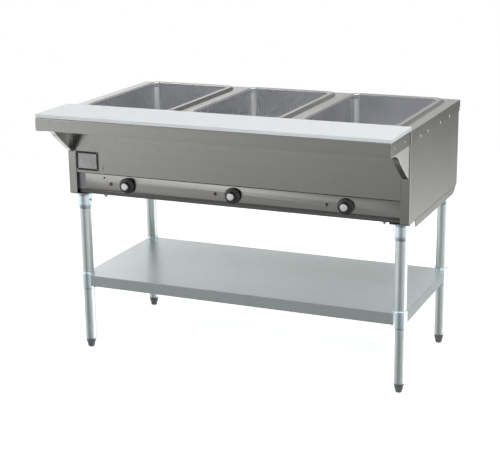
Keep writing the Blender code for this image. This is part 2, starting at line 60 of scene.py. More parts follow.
SIDE_LOW, SIDE_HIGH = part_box("side_panel_right")
BODY_Z = SIDE_LOW.z
SIDE_X = SIDE_HIGH.x
COLUMN_Y = SIDE_LOW.y
COLUMN_X = SIDE_LOW.x
REAR_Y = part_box("rear_panel")[1].y

APRON_LOW, APRON_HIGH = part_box("front_panel")
STRIP_LOW, STRIP_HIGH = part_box("control_panel")
PANEL_Y = APRON_LOW.y
SHELF_LOW, SHELF_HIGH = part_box("front_shelf")
BOARD_LOW, BOARD_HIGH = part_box("cutting_board")

WELL_W = 0.302
WELL_D = 0.505
WELL_CORNER = 0.020
RIM = 0.026
RIM_SLOPE = 0.009
WELLS = []
for number in (1, 2, 3):
    liner_low, liner_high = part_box(f"well_liner_{number}")
    WELLS.append((number, (liner_low + liner_high) / 2))
WELL_Y = WELLS[0][1].y
WELL_FLOOR_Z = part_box("element_support_1")[0].z - 0.0004

LEG_NAMES = ("front_left", "front_right", "rear_left", "rear_right")
LEGS = {}
for leg_name in LEG_NAMES:
    leg_low, leg_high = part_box("leg_" + leg_name)
    LEGS[leg_name] = (leg_low + leg_high) / 2
LEG_R = (leg_high.x - leg_low.x) / 2
LEG_FOOT_Z = leg_low.z
LEG_TOP_Z = leg_high.z
SOCKET_TOP_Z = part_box("leg_socket_front_left")[1].z
TRAY_LOW, TRAY_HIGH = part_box("undershelf")
COLLAR_LOW, COLLAR_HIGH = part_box("shelf_collar_front_left")
COLLAR_R = (COLLAR_HIGH.x - COLLAR_LOW.x) / 2

SKIRT_SCREW_YS = (-0.100, -0.016, 0.133, 0.248)
APRON_SCREW_X, APRON_SCREW_Z = -0.4728, 0.672
STRIP_PLUG_X, STRIP_PLUG_Z = -0.4695, 0.637
BASE_NUT_XS = (-0.478, 0.520)
RAIL_BOLT_YS = (-0.090, 0.085, 0.260)
SOCKET_R = 0.0245
THREAD_PITCH = 0.00175
STEM_TOP_Z = 0.072

SHEET = 0.0012
DECK_SHEET = 0.0015
BEND = 0.0022
FINE = 0.0004
ROUND = 64


# ---- materials
class Tree:
    """A short way to write a node tree."""

    def __init__(self, tree):
        self.tree = tree

    def feed(self, value, socket):
        if isinstance(value, bpy.types.NodeSocket):
            self.tree.links.new(value, socket)
        else:
            socket.default_value = value

    def add(self, kind, inputs=(), **settings):
        node = self.tree.nodes.new("ShaderNode" + kind)
        for key, value in settings.items():
            setattr(node, key, value)
        for key, value in dict(inputs).items():
            self.feed(value, node.inputs[key])
        return node

    def math(self, operation, a, b):
        return self.add("Math", {0: a, 1: b}, operation=operation).outputs[0]


class Nodes(Tree):
    """A material's nodes, in the object's own coordinates."""

    def __init__(self, name):
        self.material = bpy.data.materials.new(name)
        self.material.use_nodes = True
        super().__init__(self.material.node_tree)
        self.shader = self.tree.nodes["Principled BSDF"]
        self.place = self.add("TexCoord").outputs["Object"]

    def set(self, **values):
        for key, value in values.items():
            self.feed(value, self.shader.inputs[key.replace("_", " ")])

    def scaled(self, scale, turn=(0, 0, 0)):
        return self.add("Mapping", {"Vector": self.place, "Scale": scale, "Rotation": turn}).outputs[0]

    def noise(self, scale, detail=3.0, rough=0.55, vector=None, distortion=0.0):
        inputs = {"Scale": scale, "Detail": detail, "Roughness": rough, "Distortion": distortion}
        inputs["Vector"] = vector or self.place
        return self.add("TexNoise", inputs).outputs["Fac"]

    def ramp(self, value, low, high, start=0.0, end=1.0):
        """Stretches start to end of a value to low to high."""
        inputs = {"Value": value, "From Min": start, "From Max": end, "To Min": low, "To Max": high}
        return self.add("MapRange", inputs).outputs[0]

    def mix(self, factor, a, b):
        colours = [part if isinstance(part, bpy.types.NodeSocket) else (*part, 1.0) for part in (a, b)]
        return self.add("Mix", {0: factor, 6: colours[0], 7: colours[1]}, data_type="RGBA").outputs[2]

    def bump(self, height, strength, distance):
        inputs = {"Height": height, "Strength": strength, "Distance": distance}
        return self.add("Bump", inputs).outputs[0]


def tone(colour, factor):
    return tuple(min(1.0, part * factor) for part in colour)


def brushed(name, colour, grain=(6, 900, 900), roughness=0.30, contrast=0.10, smudge=0.05):
    """Sheet with a fine one-way grain, faint handling marks and slow changes of tone."""
    n = Nodes(name)
    fine = n.noise(1.0, 4.0, 0.65, n.scaled(grain))
    broad = n.noise(1.0, 2.0, 0.5, n.scaled(tuple(part * 0.16 for part in grain)))
    cloud = n.noise(3.5, 3.0, 0.6)
    marks = n.noise(22.0, 5.0, 0.7, distortion=0.6)
    streak = n.math("ADD", n.ramp(fine, -0.5, 0.5), n.ramp(broad, -0.4, 0.4))
    shade = n.math("ADD", n.math("MULTIPLY", streak, contrast), n.ramp(cloud, -0.06, 0.06))
    base = n.mix(n.ramp(shade, 0, 1, -0.16, 0.16), tone(colour, 0.84), tone(colour, 1.14))
    spots = n.ramp(marks, 0.0, smudge, 0.52, 0.72)
    spread = contrast * 0.5
    rough = n.math("ADD", n.ramp(fine, roughness - spread, roughness + spread), spots)
    rough = n.math("ADD", rough, n.ramp(cloud, -0.04, 0.04))
    n.set(Base_Color=base, Roughness=rough, Metallic=1.0, Anisotropic=0.35)
    n.set(Normal=n.bump(fine, 0.035, 0.00012))
    return n.material


def galvanised(name, colour, cell=85.0, contrast=0.16, roughness=0.42, stretch=(1, 1, 1), metal=0.9):
    """Zinc-coated sheet: flat crystals of slightly different tone, with a soft white bloom."""
    n = Nodes(name)
    wobble = n.add("TexNoise", {"Vector": n.scaled(stretch), "Scale": 40.0, "Detail": 2.0})
    moved = n.add("VectorMath", {0: wobble.outputs["Color"], 1: (0.006, 0.006, 0.006)})
    moved.operation = "MULTIPLY"
    at = n.add("VectorMath", {0: n.scaled(stretch), 1: moved.outputs[0]})
    crystal = n.add("TexVoronoi", {"Vector": at.outputs[0], "Scale": cell})
    parts = n.add("SeparateColor", {"Color": crystal.outputs["Color"]})
    bloom = n.noise(9.0, 4.0, 0.65)
    fine = n.noise(700.0, 2.0, 0.5)
    value = n.math("ADD", n.ramp(parts.outputs[0], -contrast, contrast), n.ramp(bloom, -0.06, 0.06))
    base = n.mix(n.ramp(value, 0, 1, -0.3, 0.3), tone(colour, 0.74), tone(colour, 1.22))
    spread = min(0.08, contrast * 0.8)
    rough = n.ramp(parts.outputs[1], roughness - spread, roughness + spread)
    rough = n.math("ADD", rough, n.ramp(bloom, -0.02, 0.03))
    n.set(Base_Color=base, Roughness=rough, Metallic=metal)
    n.set(Normal=n.bump(n.math("ADD", fine, parts.outputs[2]), 0.04, 0.0001))
    return n.material


def moulded(name, colour, roughness=0.45, grain=900.0, depth=0.00008, coat=0.0):
    """Moulded plastic or rubber with a fine texture and slight uneven gloss."""
    n = Nodes(name)
    fine = n.noise(grain, 3.0, 0.6)
    cloud = n.noise(30.0, 3.0, 0.55)
    base = n.mix(n.ramp(cloud, 0, 1, 0.3, 0.7), tone(colour, 0.88), tone(colour, 1.12))
    rough = n.math("ADD", n.ramp(fine, roughness - 0.06, roughness + 0.06), n.ramp(cloud, -0.04, 0.04))
    n.set(Base_Color=base, Roughness=rough, Coat_Weight=coat)
    n.set(Normal=n.bump(fine, 0.25, depth))
    return n.material


def board_plastic(name, colour):
    """White cutting plastic: a fine pebbled top with faint knife marks in two directions."""
    n = Nodes(name)
    pebble = n.noise(1500.0, 2.0, 0.5)
    cloud = n.noise(5.0, 4.0, 0.6)
    along = n.noise(1.0, 3.0, 0.75, n.scaled((16, 1300, 16), (0, 0, 0.20)))
    across = n.noise(1.0, 3.0, 0.75, n.scaled((1200, 14, 14), (0, 0, 0.35)))
    cuts = n.math("ADD", n.ramp(along, 0, 0.5, 0.68, 0.78), n.ramp(across, 0, 0.5, 0.70, 0.80))
    base = n.mix(n.ramp(cloud, 0, 1, 0.3, 0.7), tone(colour, 0.97), tone(colour, 1.01))
    base = n.mix(n.math("MULTIPLY", cuts, 0.16), base, (0.62, 0.62, 0.58))
    rough = n.math("ADD", n.ramp(pebble, 0.34, 0.46), n.ramp(cloud, -0.05, 0.05))
    height = n.math("SUBTRACT", n.math("MULTIPLY", pebble, 0.5), cuts)
    n.set(Base_Color=base, Roughness=rough, Subsurface_Weight=0.08, Subsurface_Scale=0.004)
    n.set(Normal=n.bump(height, 0.35, 0.00012))
    return n.material


def sheath(name, colour):
    """Heater sheath: dull brown-grey oxide with bluish heat bands."""
    n = Nodes(name)
    bands = n.noise(1.0, 2.0, 0.5, n.scaled((7, 11, 7)))
    scale = n.noise(420.0, 4.0, 0.65)
    base = n.mix(n.ramp(bands, 0, 1, 0.35, 0.65), colour, (0.17, 0.17, 0.22))
    base = n.mix(n.ramp(scale, 0, 0.5, 0.45, 0.75), base, (0.26, 0.21, 0.16))
    n.set(Base_Color=base, Roughness=n.ramp(scale, 0.42, 0.66), Metallic=0.8)
    n.set(Normal=n.bump(scale, 0.25, 0.00015))
    return n.material


def fibre(name, colour):
    """Glass-fibre blanket: long tangled strands, with painted shade darkening the low parts of the strand
    pattern.
    """
    n = Nodes(name)
    strands = n.noise(1.0, 6.0, 0.7, n.scaled((90, 260, 300)), 1.5)
    lumps = n.noise(26.0, 4.0, 0.6)
    # Low parts of the strand pattern are darker: painted shade in the hollows.
    base = n.mix(strands, tone(colour, 0.62), tone(colour, 1.2))
    n.set(Base_Color=base, Roughness=0.95, Sheen_Weight=0.4)
    n.set(Normal=n.bump(n.math("ADD", strands, lumps), 0.8, 0.002))
    return n.material


def lens_plastic():
    """Dull red pilot lens with fine ribs."""
    n = Nodes("pilot_lens_red")
    ribs = n.noise(1.0, 2.0, 0.5, n.scaled((900, 900, 900)))
    base = n.mix(ribs, (0.075, 0.030, 0.028), (0.11, 0.045, 0.042))
    n.set(Base_Color=base, Roughness=n.ramp(ribs, 0.14, 0.26), Coat_Weight=0.5)
    n.set(Normal=n.bump(ribs, 0.1, 0.0001))
    return n.material


STAINLESS = (0.315, 0.312, 0.297)
M = {
    "deck": brushed("deck_stainless", STAINLESS, (5, 850, 850), 0.19),
    "upright": brushed("panel_stainless", STAINLESS, (5, 850, 850), 0.25),
    "side": brushed("side_stainless", STAINLESS, (850, 5, 850), 0.22),
    # The brackets take the stainless with its colour raised 1.7 times: painted light.
    "bracket": brushed("bracket_stainless_painted_light", tone(STAINLESS, 1.7), (850, 6, 850), 0.36),
    "liner": brushed("liner_metal", (0.79, 0.795, 0.815), (260, 260, 5), 0.27, 0.03, 0.0),
    # Paler, bluer copies of the liner metal for the wells' rounded corners: a painted highlight.
    "liner_painted_highlight_fade": brushed("liner_painted_highlight_fade", (0.85, 0.855, 0.875), (260, 260, 5), 0.34, 0.03, 0.02),
    "liner_corner_painted_highlight": brushed("liner_corner_painted_highlight", (0.93, 0.945, 0.97), (260, 260, 5), 0.40, 0.03, 0.02),
    "shelf": brushed("shelf_stainless", tone(STAINLESS, 0.92), (5, 850, 850), 0.20),
    "plain": brushed("cut_steel", (0.45, 0.45, 0.45), (300, 300, 40), 0.30),
    "fastener": brushed("fastener_zinc", (0.42, 0.43, 0.43), (240, 240, 240), 0.34),
    "tube": galvanised("galvanised_tube", (0.62, 0.675, 0.675), 95.0, 0.04, 0.32, (1, 1, 0.35)),
    # Two copies of the tray's zinc: a lighter one for the flat top, painted light, and a darker one for the
    # folded edges, painted shade.
    "tray": galvanised("galvanised_tray", (0.76, 0.84, 0.83), 70.0, 0.022, 0.30, metal=0.62),
    "tray_painted_shade": galvanised("galvanised_tray_painted_shade", (0.34, 0.38, 0.38), 70.0, 0.022, 0.44, metal=0.6),
    "rear": galvanised("galvanised_rear", (0.42, 0.45, 0.45), 60.0, 0.07, 0.42),
    # The bottom cover is galvanised sheet drawn near black: painted shade for the gap under the front panel.
    "underside": brushed("bottom_cover_painted_shade", (0.15, 0.152, 0.147), (20, 300, 300), 0.5),
    # The strip's end cap and its return are drawn darker than the stainless, with a slight blue tint: painted
    # shade in the recess.
    "recess": brushed("end_cap_painted_shade", (0.235, 0.23, 0.25), (300, 300, 20), 0.35),
    "zinc": brushed("bright_zinc", (0.70, 0.82, 0.87), (18, 18, 420), 0.30, 0.03, 0.02),
    "knob": moulded("knob_black", (0.022, 0.022, 0.024), 0.36, 1100.0, 0.00005, 0.2),
    "cap": brushed("knob_cap_metal", (0.80, 0.82, 0.81), (700, 60, 700), 0.42, 0.05),
    "mark": moulded("dial_mark_grey", (0.16, 0.165, 0.16), 0.5),
    "foot": moulded("foot_grey", (0.10, 0.105, 0.11), 0.48),
    "cream": moulded("switch_cream", (0.60, 0.55, 0.44), 0.5),
    "cable": moulded("cable_black", (0.022, 0.022, 0.022), 0.5, 500.0, 0.0002),
    "plate_dark": moulded("plate_dark", (0.018, 0.021, 0.021), 0.5),
    "plate_pale": moulded("plate_pale", (0.46, 0.465, 0.455), 0.45),
    "board": board_plastic("board_white", (0.74, 0.765, 0.78)),
    "heater": sheath("heater_sheath", (0.12, 0.10, 0.09)),
    "fibre": fibre("glass_fibre", (0.62, 0.50, 0.19)),
    "lens": lens_plastic(),
}




# ---- mesh helpers
def link(name, data):
    obj = bpy.data.objects.new(name, data)
    bpy.context.scene.collection.objects.link(obj)
    return obj


def piece(name, bm, material, body="stand", slot=None, stands_for=()):
    """Turns the bmesh into a piece of the object that rides on a body."""
    mesh = bpy.data.meshes.new(name)
    bm.to_mesh(mesh)
    bm.free()
    obj = link(name, mesh)
    mesh.materials.append(M[material])
    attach(obj, body)
    if stands_for:
        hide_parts(*stands_for)
    return obj


def shade(obj, degrees=35):
    """Smooth shading with sharp edges, and flats that stay flat."""
    obj.data.shade_smooth()
    obj.data.set_sharp_from_angle(angle=math.radians(degrees))
    weighted = obj.modifiers.new("flat_faces", "WEIGHTED_NORMAL")
    weighted.keep_sharp = True


def soften(obj, width, segments=2, degrees=30):
    bevel = obj.modifiers.new("soft_edges", "BEVEL")
    bevel.width = width
    bevel.segments = segments
    bevel.limit_method = "ANGLE"
    bevel.angle_limit = math.radians(degrees)
    bevel.harden_normals = False


def as_sheet(obj, thickness, bend=BEND, fold_degrees=50):
    """Rounds the folds of an open surface, then gives it the sheet's thickness and dulled edges."""
    if bend:
        soften(obj, bend, 4, fold_degrees)
    solid = obj.modifiers.new("thickness", "SOLIDIFY")
    solid.thickness = thickness
    solid.offset = -1.0
    solid.use_even_offset = True
    solid.use_quality_normals = True
    soften(obj, min(0.00035, thickness * 0.28), 2, 50)
    shade(obj)


def cut_with(obj, cutter_bm, name):
    """Cuts the piece with a hidden shape that is not part of the object."""
    mesh = bpy.data.meshes.new(name)
    bmesh.ops.recalc_face_normals(cutter_bm, faces=cutter_bm.faces)
    cutter_bm.to_mesh(mesh)
    cutter_bm.free()
    cutter = link(name, mesh)
    cutter.hide_render = True
    boolean = obj.modifiers.new(name, "BOOLEAN")
    boolean.object = cutter
    boolean.operation = "DIFFERENCE"
    boolean.solver = "EXACT"


def settle(obj):
    """Applies the piece's modifiers to its mesh."""
    bpy.context.view_layer.update()
    graph = bpy.context.evaluated_depsgraph_get()
    mesh = bpy.data.meshes.new_from_object(obj.evaluated_get(graph))
    obj.modifiers.clear()
    obj.data = mesh


def face_up(bm, face, direction):
    bmesh.ops.recalc_face_normals(bm, faces=bm.faces)
    face.normal_update()
    if face.normal.dot(Vector(direction)) < 0:
        bmesh.ops.reverse_faces(bm, faces=bm.faces)


def flat_outline(low, high, z):
    """The corners of a box's outline at one height."""
    return [(low.x, low.y, z), (high.x, low.y, z), (high.x, high.y, z), (low.x, high.y, z)]


def rounded_rectangle(centre, width, depth, radius, z, steps=8):
    points = []
    for quarter, (side_x, side_y) in enumerate(((1, 1), (-1, 1), (-1, -1), (1, -1))):
        corner_x = centre[0] + side_x * (width / 2 - radius)
        corner_y = centre[1] + side_y * (depth / 2 - radius)
        for step in range(steps + 1):
            angle = math.radians(90 * (quarter + step / steps))
            x = corner_x + radius * math.cos(angle)
            points.append((x, corner_y + radius * math.sin(angle), z))
    return points


def ring_of(bm, points):
    return [bm.verts.new(point) for point in points]


def join_rings(bm, a, b, closed=True):
    faces = []
    count = len(a) if closed else len(a) - 1
    for i in range(count):
        j = (i + 1) % len(a)
        faces.append(bm.faces.new((a[i], a[j], b[j], b[i])))
    return faces


def stack(bm, rings):
    for a, b in zip(rings, rings[1:]):
        join_rings(bm, a, b)


def circle(bm, at, radius, level, steps=ROUND):
    """A ring round a placed axis. The radius is a number, or a function of the angle."""
    ring = []
    for step in range(steps):
        angle = math.tau * step / steps
        reach = radius(angle) if callable(radius) else radius
        ring.append(bm.verts.new(at @ Vector((reach * math.cos(angle), reach * math.sin(angle), level))))
    return ring


def hexagon(across):
    """A hexagon's radius as a function of the angle, from its width across the flats."""

    def radius(angle):
        turned = (angle + math.pi / 6) % (math.pi / 3) - math.pi / 6
        return across / 2 / math.cos(turned)

    return radius


def pan(name, outline, sweep, material, thickness=SHEET, skip=(), hem=0.0, bend=BEND, **facts):
    """A folded sheet: a flat face, a flange along each edge that skip doesn't name, and an optional hem."""
    bm = bmesh.new()
    verts = ring_of(bm, outline)
    face = bm.faces.new(verts)
    sweep = Vector(sweep)
    centre = sum((vert.co for vert in verts), Vector()) / len(verts)
    low = [bm.verts.new(vert.co + sweep) for vert in verts]
    inner = []
    if hem:
        for vert in verts:
            inward = centre - vert.co
            step = Vector([math.copysign(hem, part) if abs(part) > 1e-6 else 0 for part in inward])
            inner.append(bm.verts.new(vert.co + sweep + step))
    count = len(verts)
    for i in range(count):
        j = (i + 1) % count
        if i in skip:
            continue
        bm.faces.new((verts[i], verts[j], low[j], low[i]))
        if hem:
            bm.faces.new((low[i], low[j], inner[j], inner[i]))
    loose = [vert for vert in bm.verts if not vert.link_faces]
    bmesh.ops.delete(bm, geom=loose, context="VERTS")
    face_up(bm, face, -sweep)
    obj = piece(name, bm, material, **facts)
    as_sheet(obj, thickness, bend)
    return obj


def lathe(name, profile, material, place, turn=None, steps=ROUND, **facts):
    """A turned piece from (radius, height) points down its outer side. Height runs along the turned axis."""
    bm = bmesh.new()
    at = Matrix.Translation(place) @ (turn or Matrix.Identity(4))
    rings = []
    for radius, height in profile:
        if radius < 1e-7:
            rings.append([bm.verts.new(at @ Vector((0, 0, height)))])
        else:
            rings.append(circle(bm, at, radius, height, steps))
    pairs = list(zip(rings, rings[1:]))
    if profile[0][0] > 1e-7 and profile[-1][0] > 1e-7:
        pairs.append((rings[-1], rings[0]))
    for a, b in pairs:
        for i in range(steps):
            j = (i + 1) % steps
            if len(a) == 1:
                bm.faces.new((a[0], b[i], b[j]))
            elif len(b) == 1:
                bm.faces.new((a[i], b[0], a[j]))
            else:
                bm.faces.new((a[i], b[i], b[j], a[j]))
    bmesh.ops.recalc_face_normals(bm, faces=bm.faces)
    obj = piece(name, bm, material, **facts)
    shade(obj, 32)
    return obj


def round_over(profile, width, steps=3):
    """Rounds the outline's inner corners, so that a turned piece has no knife edges."""
    out = [profile[0]]
    for before, here, after in zip(profile, profile[1:], profile[2:]):
        p, q, r = Vector(before), Vector(here), Vector(after)
        reach = min(width, (p - q).length * 0.45, (r - q).length * 0.45)
        a = q + (p - q).normalized() * reach
        b = q + (r - q).normalized() * reach
        for step in range(steps + 1):
            t = step / steps
            out.append(tuple(a * (1 - t) ** 2 + q * 2 * t * (1 - t) + b * t * t))
    out.append(profile[-1])
    return out


TO_COOK = Matrix.Rotation(math.radians(90), 4, "X")
TO_WALL = Matrix.Rotation(math.radians(-90), 4, "X")
TO_RIGHT = Matrix.Rotation(math.radians(90), 4, "Y")
TO_LEFT = Matrix.Rotation(math.radians(-90), 4, "Y")
DOWN = Matrix.Rotation(math.radians(180), 4, "X")


def fastener(name, bm, rings, degrees):
    """Closes a stack of rings as a zinc-plated head."""
    stack(bm, rings)
    bm.faces.new(rings[-1])
    bm.faces.new(list(reversed(rings[0])))
    bmesh.ops.recalc_face_normals(bm, faces=bm.faces)
    shade(piece(name, bm, "fastener", slot="zinc_plated"), degrees)


def screw_head(name, place, turn, radius=0.0040, height=0.0022):
    """A pan-head screw: a low dome with a crossed recess, standing along the turned axis."""
    bm = bmesh.new()
    at = Matrix.Translation(place) @ turn
    steps = 24
    dome = ((1.0, 0.0), (1.0, 0.35), (0.93, 0.62), (0.78, 0.84), (0.55, 0.97), (0.36, 1.0))
    rings = [circle(bm, at, radius * share, height * level, steps) for share, level in dome]

    def cross(angle):
        return radius * (0.30 if math.cos(angle * 4) > 0.35 else 0.13)

    rings.append(circle(bm, at, cross, height * 0.55, steps))
    fastener(name, bm, rings, 40)


def hex_head(name, place, across, height, washer, stud=0.0):
    """A nut or bolt head that faces down, with a chamfer and a washer, and a stud end if stud is given."""
    bm = bmesh.new()
    at = Matrix.Translation(place) @ DOWN
    thin = 0.0010
    top = thin + height
    flats = hexagon(across)
    levels = [(washer, 0.0), (washer, thin * 0.8), (washer - 0.0002, thin), (flats, thin)]
    levels += [(flats, thin + height * 0.82), (across / 2 * 0.97, top)]
    if stud:
        levels += [(across * 0.29, top), (across * 0.29, top + stud), (across * 0.22, top + stud + 0.0006)]
    fastener(name, bm, [circle(bm, at, radius, level, 48) for radius, level in levels], 30)


def set_screw(name, at, body="stand"):
    """A socket set screw on the inner side of a leg's fitting."""
    profile = [(0.0, 0.0012), (0.0016, 0.0012), (0.0018, 0.0030), (0.0030, 0.0032), (0.0034, 0.0026)]
    profile += [(0.0034, -0.0010), (0.0, -0.0010)]
    turn = TO_LEFT if at[0] > 0 else TO_RIGHT
    lathe(name, profile, "fastener", at, turn, 24, body=body, slot="zinc_plated")


def swept(name, points, radius, material, sides=16, **facts):
    """A round rod along the points, with flat ends."""
    curve = bpy.data.curves.new(name, "CURVE")
    curve.dimensions = "3D"
    curve.bevel_depth = radius
    curve.bevel_resolution = sides // 4
    curve.use_fill_caps = True
    spline = curve.splines.new("POLY")
    spline.points.add(len(points) - 1)
    for target, point in zip(spline.points, points):
        target.co = (*point, 1.0)
    obj = link(name, curve)
    bpy.context.view_layer.update()
    graph = bpy.context.evaluated_depsgraph_get()
    mesh = bpy.data.meshes.new_from_object(obj.evaluated_get(graph))
    bpy.data.objects.remove(obj)
    bm = bmesh.new()
    bm.from_mesh(mesh)
    bmesh.ops.remove_doubles(bm, verts=bm.verts, dist=0.00001)
    bmesh.ops.recalc_face_normals(bm, faces=bm.faces)
    bpy.data.meshes.remove(mesh)
    made = piece(name, bm, material, **facts)
    shade(made, 40)
    return made


def arc(centre, radius, start, end, steps, point):
    points = []
    for step in range(steps + 1):
        angle = math.radians(start + (end - start) * step / steps)
        points.append(point(centre[0] + radius * math.cos(angle), centre[1] + radius * math.sin(angle)))
    return points


# ---- deck
def rim_profile():
    """(distance in from the rim's outer foot, height over the deck) up and over the rim, and down its lip."""
    points = [(0.0, 0.0), (RIM_SLOPE * 0.16, 0.0002)]
    for step in range(1, 8):
        t = step / 8
        rise = t * t * (3 - 2 * t) * 0.35 + t * 0.65
        points.append((RIM_SLOPE * (0.16 + 0.62 * t), RIM_H * (0.02 + 0.86 * rise)))
    points += [(RIM_SLOPE * 0.84, RIM_H * 0.93), (RIM_SLOPE, RIM_H * 0.985), (RIM_SLOPE * 1.2, RIM_H)]
    nose = 0.0036
    for step in range(7):
        angle = math.radians(90 - 90 * step / 6)
        points.append((RIM - nose * (1 - math.cos(angle)), RIM_H - nose * (1 - math.sin(angle))))
    return points + [(RIM, -0.010)]


def make_deck():
    bm = bmesh.new()
    corners = [(-HALF, FRONT_Y), (HALF, FRONT_Y), (HALF, BACK_Y), (-HALF, BACK_Y)]
    top = ring_of(bm, [(x, y, DECK_Z) for x, y in corners])
    edges = [bm.edges.new((top[i], top[(i + 1) % 4])) for i in range(4)]
    feet = []
    for _, centre in WELLS:
        outline = rounded_rectangle(centre, WELL_W + 2 * RIM, WELL_D + 2 * RIM, WELL_CORNER + RIM, DECK_Z, 10)
        foot = ring_of(bm, outline)
        edges += [bm.edges.new((foot[i], foot[(i + 1) % len(foot)])) for i in range(len(foot))]
        feet.append((centre, foot))
    filled = bmesh.ops.triangle_fill(bm, use_beauty=True, edges=edges)["geom"]
    flat = next(item for item in filled if isinstance(item, bmesh.types.BMFace))
    for centre, below in feet:
        for inset, rise in rim_profile()[1:]:
            size = (WELL_W + 2 * (RIM - inset), WELL_D + 2 * (RIM - inset))
            corner = WELL_CORNER + RIM - inset
            above = ring_of(bm, rounded_rectangle(centre, *size, corner, DECK_Z + rise, 10))
            for face in join_rings(bm, below, above):
                face.material_index = 1 if inset > RIM - 0.0004 else 0
            below = above
    low = ring_of(bm, [(x, y, SKIRT_Z if y < 0 else LIP_Z) for x, y in corners])
    bm.faces.new((top[0], top[1], low[1], low[0]))
    bm.faces.new((top[2], top[3], low[3], low[2]))
    for front, back in ((0, 3), (1, 2)):
        x = corners[front][0]
        step_up = [bm.verts.new((x, REAR_Y, SKIRT_Z)), bm.verts.new((x, REAR_Y, LIP_Z))]
        bm.faces.new((top[front], low[front], step_up[0], step_up[1], low[back], top[back]))
    face_up(bm, flat, (0, 0, 1))
    deck = piece("deck_top_formed", bm, "deck", slot="stainless", stands_for=["deck_top"])
    deck.data.materials.append(M["liner"])
    as_sheet(deck, DECK_SHEET, 0.0030)


def make_deck_fasteners():
    """Screws along both side skirts."""
    for side, turn, x in (("left", TO_LEFT, -HALF), ("right", TO_RIGHT, HALF)):
        for number, y in enumerate(SKIRT_SCREW_YS, 1):
            screw_head(f"skirt_screw_{side}_{number}", (x, y, SKIRT_Z + 0.0058), turn, 0.0052, 0.0020)


# ---- body panels
def make_side_panels():
    top = DECK_Z - DECK_SHEET - FINE
    for name, side in (("left", -1), ("right", 1)):
        x = side * SIDE_X
        back = SIDE_HIGH.y
        outline = [(x, COLUMN_Y, BODY_Z), (x, back, BODY_Z), (x, back, top), (x, COLUMN_Y, top)]
        sweep = (-side * (SIDE_X - COLUMN_X), 0, 0)
        node = "side_panel_" + name
        pan(node + "_formed", outline, sweep, "side", slot="stainless", stands_for=[node])


def upright(left, right, bottom, top, y):
    return [(left, y, bottom), (right, y, bottom), (right, y, top), (left, y, top)]


def on_panel(node):
    """The middle of a node's box, at the face of the front panel."""
    low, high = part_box(node)
    return ((low.x + high.x) / 2, PANEL_Y, (low.z + high.z) / 2)


def cylinder_bm(radius, depth, place, turn=None, steps=32):
    bm = bmesh.new()
    matrix = Matrix.Translation(place) @ (turn or Matrix.Identity(4))
    bmesh.ops.create_cone(
        bm, cap_ends=True, segments=steps, radius1=radius, radius2=radius, depth=depth, matrix=matrix
    )
    return bm


def make_strip():
    """The control strip: folded back along its top, and rolled under along its bottom edge."""
    top, bottom = STRIP_HIGH.z, STRIP_LOW.z
    back = STRIP_HIGH.y
    roll = 0.0090
    fold = 0.0012
    line = [(back, top), (PANEL_Y + fold, top), (PANEL_Y + fold / 4, top - fold / 4), (PANEL_Y, top - fold)]
    line += arc((PANEL_Y + roll, bottom + roll), roll, 180, 270, 10, lambda y, z: (y, z))
    line.append((back, bottom))
    bm = bmesh.new()
    left = [bm.verts.new((STRIP_LOW.x, y, z)) for y, z in line]
    right = [bm.verts.new((STRIP_HIGH.x, y, z)) for y, z in line]
    faces = join_rings(bm, left, right, closed=False)
    face_up(bm, faces[3], (0, -1, 0))
    strip = piece("control_strip", bm, "upright", slot="stainless", stands_for=["control_panel"])
    as_sheet(strip, SHEET, 0.0)
    return strip


def make_front():
    fold = (0, APRON_HIGH.y - APRON_LOW.y, 0)
    apron = upright(APRON_LOW.x, APRON_HIGH.x, APRON_LOW.z, APRON_HIGH.z, PANEL_Y)
    pan("front_apron", apron, fold, "upright", bend=0.0011, slot="stainless", stands_for=["front_panel"])
    control = make_strip()
    for number in (1, 2, 3):
        for label, node, radius in (("knob", "control_knob", 0.0062), ("pilot", "pilot_light", 0.0056)):
            hole = cylinder_bm(radius, 0.01, on_panel(f"{node}_{number}"), TO_COOK)
            cut_with(control, hole, f"cut_{label}_{number}")
    screw_head("apron_screw", (APRON_SCREW_X, PANEL_Y, APRON_SCREW_Z), TO_COOK, 0.0040, 0.0020)
    plug = [(0.0, 0.0016), (0.0026, 0.0015), (0.0034, 0.0006), (0.0034, 0.0002), (0.0, 0.0002)]
    place = (STRIP_PLUG_X, PANEL_Y, STRIP_PLUG_Z)
    lathe("strip_plug", round_over(plug, 0.0004), "knob", place, TO_COOK, 32, slot="knob_black")
    # The end cap and the narrow return beside the column take the darker recess steel: painted shade in the
    # recess behind the strip's end.
    low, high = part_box("control_end_cap")
    end = upright(low.x, high.x, low.z, high.z, low.y)
    drop = (0, high.y - low.y, 0)
    pan("strip_end_cap", end, drop, "recess", slot="stainless", stands_for=["control_end_cap"])
    bm = bmesh.new()
    bar(bm, (low.x - 0.0003, PANEL_Y + 0.0006, low.z), (low.x + 0.0006, low.y - 0.0002, high.z))
    piece("strip_end_return", bm, "recess", slot="stainless")


def make_rear():
    low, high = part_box("rear_panel")
    outline = upright(low.x, high.x, low.z, high.z, high.y)
    gland_low, gland_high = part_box("supply_gland")
    place = ((gland_low.x + gland_high.x) / 2, high.y, (gland_low.z + gland_high.z) / 2)
    fold = (0, low.y - high.y, 0)
    rear = pan("rear_cover", outline, fold, "rear", slot="galvanised_sheet", stands_for=["rear_panel"])
    cut_with(rear, cylinder_bm(0.0114, 0.01, place, TO_WALL), "cut_gland")
    margin = 0.016
    count = 7
    for row, z in (("low", low.z + margin), ("high", DECK_Z - 0.045)):
        for number in range(count):
            x = low.x + margin + (high.x - low.x - 2 * margin) * number / (count - 1)
            screw_head(f"rear_screw_{row}_{number + 1}", (x, high.y, z), TO_WALL)
    low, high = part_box("bottom_panel")
    sweep = (0, 0, high.z - low.z)
    facts = {"slot": "galvanised_sheet", "stands_for": ["bottom_panel"]}
    # The cover is drawn near black, as painted shade in the gap under the front panel.
    pan("bottom_cover", flat_outline(low, high, low.z), sweep, "underside", **facts)


